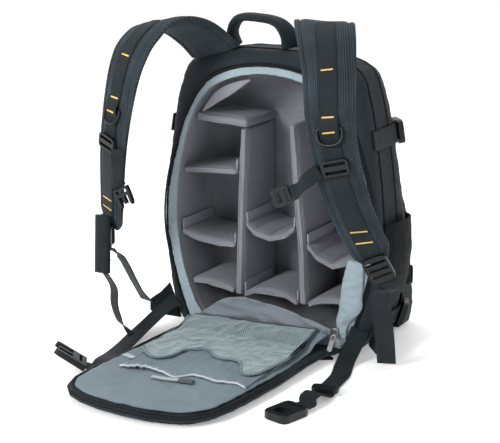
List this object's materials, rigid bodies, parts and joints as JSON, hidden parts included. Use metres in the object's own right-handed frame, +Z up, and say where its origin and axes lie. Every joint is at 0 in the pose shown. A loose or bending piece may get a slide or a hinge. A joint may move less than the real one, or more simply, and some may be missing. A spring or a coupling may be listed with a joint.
{
  "type": "camera backpack",
  "caption": "Padded camera backpack standing open on its base, its harness-side panel lying on the floor and padded dividers inside.",
  "frame": {"origin": "on the floor under the middle of the bag's base", "axes": "+Z up; -Y towards the opened panel and the shoulder straps; +X to the right of a viewer who looks into the opened bag"},
  "size_m": [0.446, 0.5269, 0.4569],
  "materials": {
    "cloth": "woven, matt",
    "webbing": "woven webbing",
    "plastic": "satin",
    "lining": "smooth woven",
    "rim": "smooth woven binding",
    "insert": "brushed",
    "mesh": "knitted mesh",
    "metal": "polished"
  },
  "bodies": {
    "bag": {"shell": "cloth", "liner": "insert", "rim": "rim", "divider_left": "insert", "divider_right": "insert", "shelf_top": "insert", "shelf_upper": "insert", "shelf_lower": "insert", "saddle_middle": "insert", "saddle_right": "insert", "floor_left": "insert", "floor_middle": "insert", "floor_right": "insert", "lip_fold": "insert", "gusset_right": "rim", "flap_panel": "cloth", "back_pad": "cloth", "flap_lining": "lining", "flap_pocket_band": "lining", "flap_pocket_mesh": "mesh", "organizer_pocket": "cloth", "grab_handle": "webbing", "zip_slider": "metal", "webbing_bundle": "webbing", "webbing_tail": "webbing", "webbing_roll": "webbing", "side_pocket_left": "webbing", "shoulder_strap_left": "cloth", "strap_webbing_left": "webbing", "ladder_lock_left": "plastic", "adjuster_left": "webbing", "sternum_slider_left": "plastic", "sternum_webbing_left": "webbing", "sternum_buckle_left": "plastic", "corner_wing_left": "cloth", "waist_buckle_left": "plastic", "waist_belt_left": "webbing", "upper_strap_left": "webbing", "upper_buckle_left": "plastic", "lower_strap_left": "webbing", "lower_buckle_left": "plastic", "side_pocket_right": "webbing", "shoulder_strap_right": "cloth", "strap_webbing_right": "webbing", "ladder_lock_right": "plastic", "adjuster_right": "webbing", "sternum_slider_right": "plastic", "sternum_webbing_right": "webbing", "sternum_buckle_right": "plastic", "corner_wing_right": "cloth", "waist_buckle_right": "plastic", "waist_belt_right": "webbing", "waist_slider": "plastic", "upper_strap_right": "webbing", "upper_buckle_right": "plastic", "lower_strap_right": "webbing", "lower_buckle_right": "plastic"},
    "d_ring_left": {"d_ring_left": "plastic"},
    "d_ring_right": {"d_ring_right": "plastic"},
    "zip_pull": {"zip_pull": "metal"}
  },
  "joints": [
    {"name": "zip_pull_swing", "type": "hinge", "parent": "bag", "child": "zip_pull", "pos_m": [0.10973, -0.07381, 0.03222], "axis": [-1, 0, 0], "range_deg": [0, 95]},
    {"name": "d_ring_left_swing", "type": "hinge", "parent": "bag", "child": "d_ring_left", "pos_m": [-0.15603, -0.19045, 0.33605], "axis": [-0.9165, 0.3809, 0.1225], "range_deg": [0, 120]},
    {"name": "d_ring_right_swing", "type": "hinge", "parent": "bag", "child": "d_ring_right", "pos_m": [0.15418, -0.19097, 0.33627], "axis": [-0.9766, -0.1638, -0.1393], "range_deg": [0, 120]}
  ]
}
